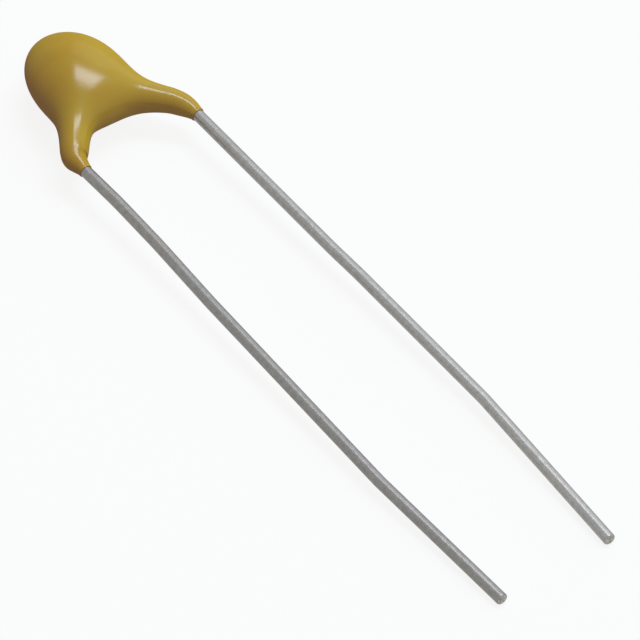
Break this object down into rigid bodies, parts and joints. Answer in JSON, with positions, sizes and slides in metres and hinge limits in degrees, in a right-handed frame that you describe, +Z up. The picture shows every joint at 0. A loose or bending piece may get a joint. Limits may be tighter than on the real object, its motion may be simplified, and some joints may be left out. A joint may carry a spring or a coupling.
{
  "type": "ceramic disc capacitor",
  "caption": "Small ceramic disc capacitor: a rounded ochre epoxy head on flared coated legs, with long tinned wire leads for through-hole mounting.",
  "frame": {"origin": "centre of the bounding box, on the flat surface that the capacitor lies on", "axes": "+Y from the wire tips towards the rounded head, +X from the left lead to the right lead, +Z up, across the thickness of the coat"},
  "size_m": [0.0063, 0.0335, 0.003],
  "materials": {
    "epoxy": "gloss",
    "ceramic": "matte",
    "silver": "satin",
    "solder": "satin",
    "tinned_wire": "satin"
  },
  "bodies": {
    "root": {"epoxy_coating": "epoxy", "ceramic_disc": "ceramic", "electrode_front": "silver", "electrode_back": "silver", "solder_front": "solder", "solder_back": "solder", "lead_left": "tinned_wire", "lead_right": "tinned_wire"}
  },
  "joints": []
}
